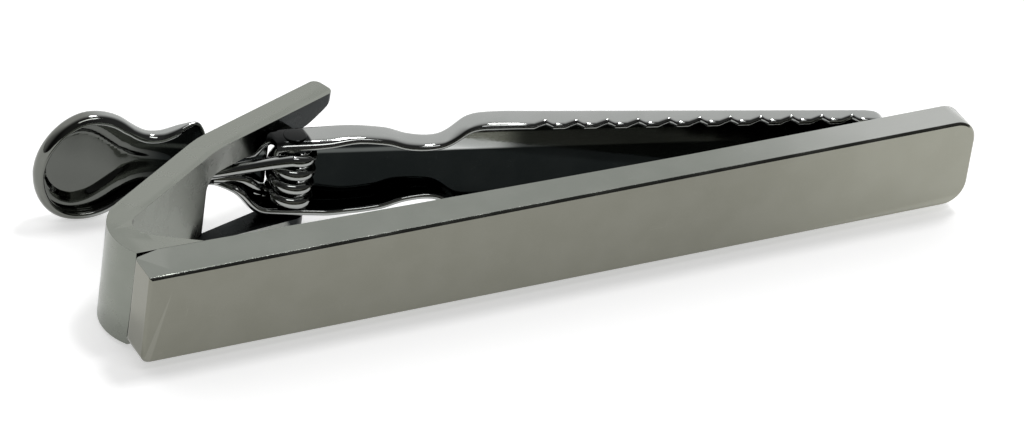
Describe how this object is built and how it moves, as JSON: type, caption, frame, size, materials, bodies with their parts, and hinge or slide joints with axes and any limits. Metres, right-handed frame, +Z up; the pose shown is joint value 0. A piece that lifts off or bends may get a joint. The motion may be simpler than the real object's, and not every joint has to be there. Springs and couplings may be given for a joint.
{
  "type": "tie clip",
  "caption": "Flat bar with a hairpin fork arm on its back and a sprung toothed lever with a thumb pad that closes on the bar.",
  "frame": {"origin": "middle of the bar's flat front face", "axes": "+X along the bar from the hinge end to the free end, +Y from the front face to the back, +Z up along the bar's height"},
  "size_m": [0.0551, 0.0164, 0.0074],
  "materials": {
    "satin_bar": "satin gunmetal plating",
    "satin_arm": "satin gunmetal plating",
    "pin_metal": "polished black chrome",
    "spring_wire": "bright dark wire",
    "lever_metal": "polished black chrome"
  },
  "bodies": {
    "bar": {"front_bar": "satin_bar", "fork_arm": "satin_arm", "pivot_pin": "pin_metal", "torsion_spring": "spring_wire"},
    "lever": {"clasp_lever": "lever_metal"}
  },
  "joints": [
    {"name": "clasp_hinge", "type": "hinge", "parent": "bar", "child": "lever", "pos_m": [-0.01301, 0.0111, 0], "axis": [0, 0, 1], "range_deg": [0, 10], "stiffness_Nm_per_rad": 0.02, "springref_deg": -20.05, "deforming": ["torsion_spring"]}
  ]
}
